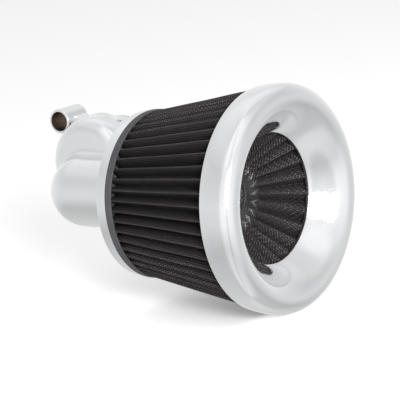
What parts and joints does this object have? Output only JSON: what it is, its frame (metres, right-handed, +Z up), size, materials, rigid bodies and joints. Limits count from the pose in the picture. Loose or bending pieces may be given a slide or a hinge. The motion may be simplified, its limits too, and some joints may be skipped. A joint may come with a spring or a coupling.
{
  "type": "air filter",
  "caption": "Motorcycle air cleaner: pleated cone filter with a flared chrome bell mouth and an inverted inner cone, on a chrome elbow with breather lugs.",
  "frame": {"origin": "centre of the throttle face, on the gasket's outer face where the part bolts to the throttle body", "axes": "+X along the filter towards its bell mouth, +Y into the throttle body, +Z up, with the breather lugs above the throttle axis"},
  "size_m": [0.231, 0.1592, 0.1592],
  "materials": {
    "chromed_casting": "polished chrome over cast aluminium",
    "chromed_spinning": "polished chrome over spun steel",
    "chromed_bolt": "polished chrome",
    "filter_rubber": "matte moulded urethane, dark grey",
    "o_ring_rubber": "smooth nitrile rubber",
    "gasket_sheet": "matte gasket sheet",
    "wire_mesh": "black epoxy-coated woven wire, bare bright ends",
    "filter_gauze": "oiled woven cotton gauze, black",
    "machined_aluminium": "fine turned",
    "zinc_steel": "bright zinc plate",
    "screw_steel": "satin stainless",
    "black_screw_steel": "black oxide"
  },
  "bodies": {
    "elbow": {"elbow_housing": "chromed_casting", "backing_plate": "chromed_casting", "throttle_gasket": "gasket_sheet", "spigot_o_ring": "o_ring_rubber", "hood_grub_screws": "black_screw_steel", "spider": "machined_aluminium", "spider_screws": "screw_steel", "filter_post": "machined_aluminium"},
    "filter": {"base_ring": "filter_rubber", "front_end_cap": "filter_rubber", "tip_cap": "filter_rubber", "clamp_plate": "zinc_steel", "cone_outer_mesh": "wire_mesh", "cone_gauze": "filter_gauze", "cone_inner_mesh": "wire_mesh", "throat_outer_mesh": "wire_mesh", "throat_gauze": "filter_gauze", "throat_inner_mesh": "wire_mesh", "bell_mouth": "chromed_spinning"},
    "washer_pair": {"bolt_seal": "o_ring_rubber", "bolt_washer": "screw_steel"},
    "bolt": {"centre_bolt": "chromed_bolt"}
  },
  "joints": [
    {"name": "filter_pull", "type": "slide", "parent": "elbow", "child": "filter", "axis": [1, 0, 0], "range_m": [0, 0.12]},
    {"name": "bolt_withdraw", "type": "slide", "parent": "filter", "child": "washer_pair", "axis": [1, 0, 0], "range_m": [0, 0.0188]},
    {"name": "bolt_turn", "type": "hinge", "parent": "washer_pair", "child": "bolt", "pos_m": [0.13, -0.048, -0.017], "axis": [1, 0, 0], "range_deg": [0, 5400]}
  ],
  "couplings": [
    {"joint": "bolt_withdraw", "follows": "bolt_turn", "m_per_rad": 0.00019894}
  ]
}
